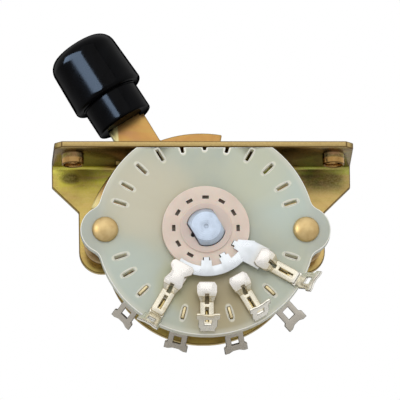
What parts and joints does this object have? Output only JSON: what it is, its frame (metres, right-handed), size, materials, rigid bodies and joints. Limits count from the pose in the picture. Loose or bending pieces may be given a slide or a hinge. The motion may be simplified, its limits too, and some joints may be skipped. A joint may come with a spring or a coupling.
{
  "type": "guitar pickup selector switch",
  "caption": "Open-frame lever switch for guitar pickups: a bent steel bracket, a swinging lever with a barrel tip and a round wafer with clip contacts on both faces.",
  "frame": {"origin": "on the mounting face of the flange, midway between the two tapped holes", "axes": "+Z out of the mounting face, the way the lever stands; +X along the flange; +Y towards the back plate, away from the wafer"},
  "size_m": [0.0472, 0.0222, 0.054],
  "materials": {
    "yellow_zinc": "yellow zinc plating, satin, with a faint rainbow",
    "black_plastic": "gloss",
    "shaft_steel": "turned, satin",
    "plain_steel": "satin",
    "black_steel": "blackened spring steel",
    "spring_steel": "bright spring steel",
    "brass": "satin",
    "fibre_board": "semi-translucent, satin",
    "rotor_moulding": "matte",
    "silver_plate": "bright silver plating",
    "tinned_contact": "bright tin plating"
  },
  "bodies": {
    "frame": {"bracket": "yellow_zinc", "shaft_bushing": "brass", "detent_spring": "spring_steel", "spacer_front_left": "plain_steel", "spacer_front_right": "plain_steel", "spacer_rear_left": "plain_steel", "spacer_rear_right": "plain_steel", "tie_rivet_left": "brass", "tie_rivet_right": "brass", "wafer": "fibre_board", "front_common_contact": "tinned_contact", "front_throw_contact_1": "tinned_contact", "front_throw_contact_2": "tinned_contact", "front_throw_contact_3": "tinned_contact", "rear_common_contact": "tinned_contact", "rear_throw_contact_1": "tinned_contact", "rear_throw_contact_2": "tinned_contact", "rear_throw_contact_3": "tinned_contact"},
    "lever_set": {"lever": "yellow_zinc", "lever_tip": "black_plastic", "shaft": "shaft_steel", "thrust_washer": "plain_steel", "lever_lock_ring": "plain_steel", "retaining_ring": "black_steel", "rotor_front": "rotor_moulding", "rotor_rear": "rotor_moulding", "blade_front": "silver_plate", "blade_rear": "silver_plate"}
  },
  "joints": [
    {"name": "lever_throw", "type": "hinge", "parent": "frame", "child": "lever_set", "pos_m": [0, 0.0072, -0.01495], "axis": [0, 1, 0], "range_deg": [0, 60], "deforming": ["detent_spring"]}
  ]
}
